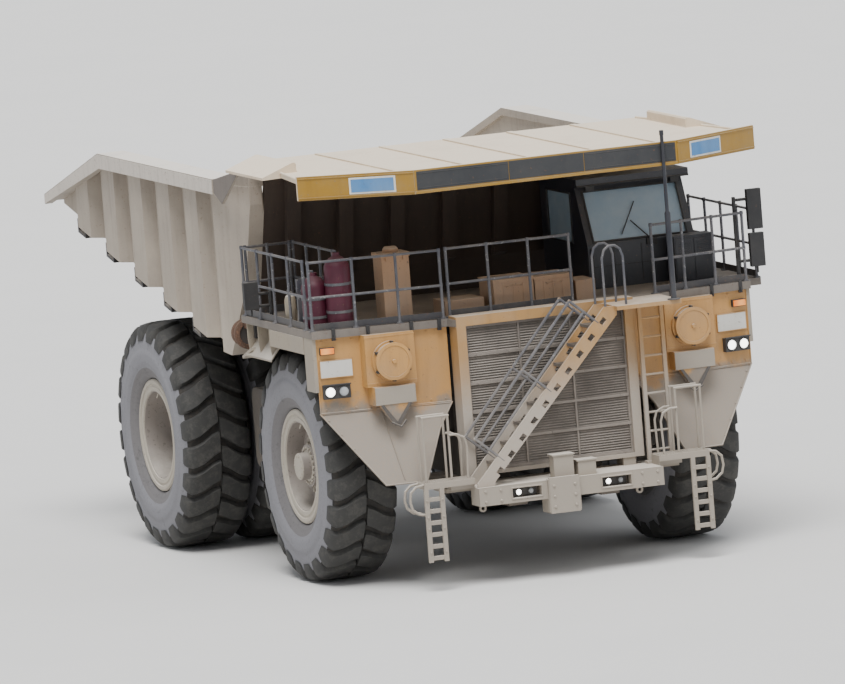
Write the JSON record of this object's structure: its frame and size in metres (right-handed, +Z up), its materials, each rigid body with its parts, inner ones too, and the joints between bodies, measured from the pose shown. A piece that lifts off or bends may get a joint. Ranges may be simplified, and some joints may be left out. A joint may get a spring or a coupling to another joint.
{
  "type": "mining dump truck",
  "caption": "Rigid two-axle mining dump truck with tipping steel body, canopy over the cab, diagonal front stairway, steered front wheels and twin rear wheels.",
  "frame": {"origin": "on the ground at the middle of the truck's box, between the axles on the centre plane", "axes": "+X forward, +Y to the driver's left, +Z up"},
  "size_m": [13.755, 7.8, 6.66],
  "materials": {
    "dark_frame": "dusty satin paint",
    "dusty_steel": "worn paint under pale dust",
    "ochre_paint": "sun-faded paint under dust",
    "grille": "dusty bare steel",
    "deck_plate": "walked bare plate",
    "cab_paint": "satin dark paint",
    "rail_paint": "satin dark paint",
    "red_tank": "faded gloss paint",
    "pane": "tinted",
    "trim": "matte",
    "lamp": "clear lens",
    "tyre": "dusty",
    "rim": "dusty paint",
    "steel": "oily",
    "rod": "polished",
    "rust": "rusty",
    "body_plate": "scraped plate with dust",
    "canopy_paint": "faded paint"
  },
  "bodies": {
    "chassis": {"main_frame": "dark_frame", "front_bumper": "dusty_steel", "step_platforms": "dusty_steel", "radiator_frame": "ochre_paint", "radiator_grille": "grille", "stairway": "ochre_paint", "engine_block": "steel", "decks": "deck_plate", "front_fenders": "ochre_paint", "air_cleaners": "ochre_paint", "headlamps": "lamp", "handrails": "rail_paint", "deck_equipment": "red_tank", "cab_shell": "cab_paint", "cab_glass": "pane", "cab_interior": "trim", "side_tanks": "ochre_paint", "mufflers": "rust", "front_suspension": "ochre_paint", "rear_axle_housing": "dark_frame", "rear_suspension": "ochre_paint"},
    "cab_door": {"cab_door": "cab_paint", "door_glass": "pane"},
    "knuckle_left": {"knuckle_left": "steel"},
    "knuckle_right": {"knuckle_right": "steel"},
    "tie_rod": {"tie_rod": "steel"},
    "front_wheel_left": {"front_tyre_left": "tyre", "front_rim_left": "rim"},
    "front_wheel_right": {"front_tyre_right": "tyre", "front_rim_right": "rim"},
    "rear_wheels_left": {"rear_tyres_left": "tyre", "rear_rims_left": "rim"},
    "rear_wheels_right": {"rear_tyres_right": "tyre", "rear_rims_right": "rim"},
    "dump_body": {"body_floor": "body_plate", "body_underframe": "dark_frame", "body_sides": "body_plate", "body_front_wall": "body_plate", "canopy": "canopy_paint"},
    "hoist_barrel_left": {"hoist_barrel_left": "steel"},
    "hoist_sleeve_left": {"hoist_sleeve_left": "steel"},
    "hoist_rod_left": {"hoist_rod_left": "rod"},
    "hoist_barrel_right": {"hoist_barrel_right": "steel"},
    "hoist_sleeve_right": {"hoist_sleeve_right": "steel"},
    "hoist_rod_right": {"hoist_rod_right": "rod"}
  },
  "joints": [
    {"name": "dump_tilt", "type": "hinge", "parent": "chassis", "child": "dump_body", "pos_m": [-3.8275, 0, 3], "axis": [0, -1, 0], "range_deg": [0, 45]},
    {"name": "cab_door_hinge", "type": "hinge", "parent": "chassis", "child": "cab_door", "pos_m": [2.9475, 3.215, 4.8], "axis": [0, 0, 1], "range_deg": [0, 85]},
    {"name": "steer_left", "type": "hinge", "parent": "chassis", "child": "knuckle_left", "pos_m": [3.6275, 1.95, 1.785], "axis": [0, 0, 1], "range_deg": [-36, 36]},
    {"name": "front_roll_left", "type": "hinge", "parent": "knuckle_left", "child": "front_wheel_left", "pos_m": [3.6275, 2.805, 1.785], "axis": [0, 1, 0], "continuous": true},
    {"name": "rear_roll_left", "type": "hinge", "parent": "chassis", "child": "rear_wheels_left", "pos_m": [-2.2775, 2.4815, 1.785], "axis": [0, 1, 0], "continuous": true},
    {"name": "hoist_swing_left", "type": "hinge", "parent": "chassis", "child": "hoist_barrel_left", "pos_m": [0.0225, 1.13, 1.35], "axis": [0, -1, 0], "range_deg": [0, 18.96]},
    {"name": "sleeve_slide_left", "type": "slide", "parent": "hoist_barrel_left", "child": "hoist_sleeve_left", "axis": [0.0787, 0, 0.9969], "range_m": [0, 1.451]},
    {"name": "rod_slide_left", "type": "slide", "parent": "hoist_sleeve_left", "child": "hoist_rod_left", "axis": [0.0787, 0, 0.9969], "range_m": [0, 1.451]},
    {"name": "steer_right", "type": "hinge", "parent": "chassis", "child": "knuckle_right", "pos_m": [3.6275, -1.95, 1.785], "axis": [0, 0, 1], "range_deg": [-36, 36]},
    {"name": "front_roll_right", "type": "hinge", "parent": "knuckle_right", "child": "front_wheel_right", "pos_m": [3.6275, -2.805, 1.785], "axis": [0, 1, 0], "continuous": true},
    {"name": "rear_roll_right", "type": "hinge", "parent": "chassis", "child": "rear_wheels_right", "pos_m": [-2.2775, -2.4815, 1.785], "axis": [0, 1, 0], "continuous": true},
    {"name": "hoist_swing_right", "type": "hinge", "parent": "chassis", "child": "hoist_barrel_right", "pos_m": [0.0225, -1.13, 1.35], "axis": [0, -1, 0], "range_deg": [0, 18.96]},
    {"name": "sleeve_slide_right", "type": "slide", "parent": "hoist_barrel_right", "child": "hoist_sleeve_right", "axis": [0.0787, 0, 0.9969], "range_m": [0, 1.451]},
    {"name": "rod_slide_right", "type": "slide", "parent": "hoist_sleeve_right", "child": "hoist_rod_right", "axis": [0.0787, 0, 0.9969], "range_m": [0, 1.451]},
    {"name": "tie_rod_pivot", "type": "hinge", "parent": "knuckle_left", "child": "tie_rod", "pos_m": [3.0075, 1.95, 1.45], "axis": [0, 0, 1], "range_deg": [-36, 36]}
  ],
  "couplings": [
    {"joint": "hoist_swing_left", "follows": "dump_tilt", "ratio": 0.42111},
    {"joint": "sleeve_slide_left", "follows": "dump_tilt", "m_per_rad": 1.8469},
    {"joint": "rod_slide_left", "follows": "dump_tilt", "m_per_rad": 1.8469},
    {"joint": "hoist_swing_right", "follows": "dump_tilt", "ratio": 0.42111},
    {"joint": "sleeve_slide_right", "follows": "dump_tilt", "m_per_rad": 1.8469},
    {"joint": "rod_slide_right", "follows": "dump_tilt", "m_per_rad": 1.8469},
    {"joint": "steer_right", "follows": "steer_left", "ratio": 1},
    {"joint": "tie_rod_pivot", "follows": "steer_left", "ratio": -1}
  ]
}
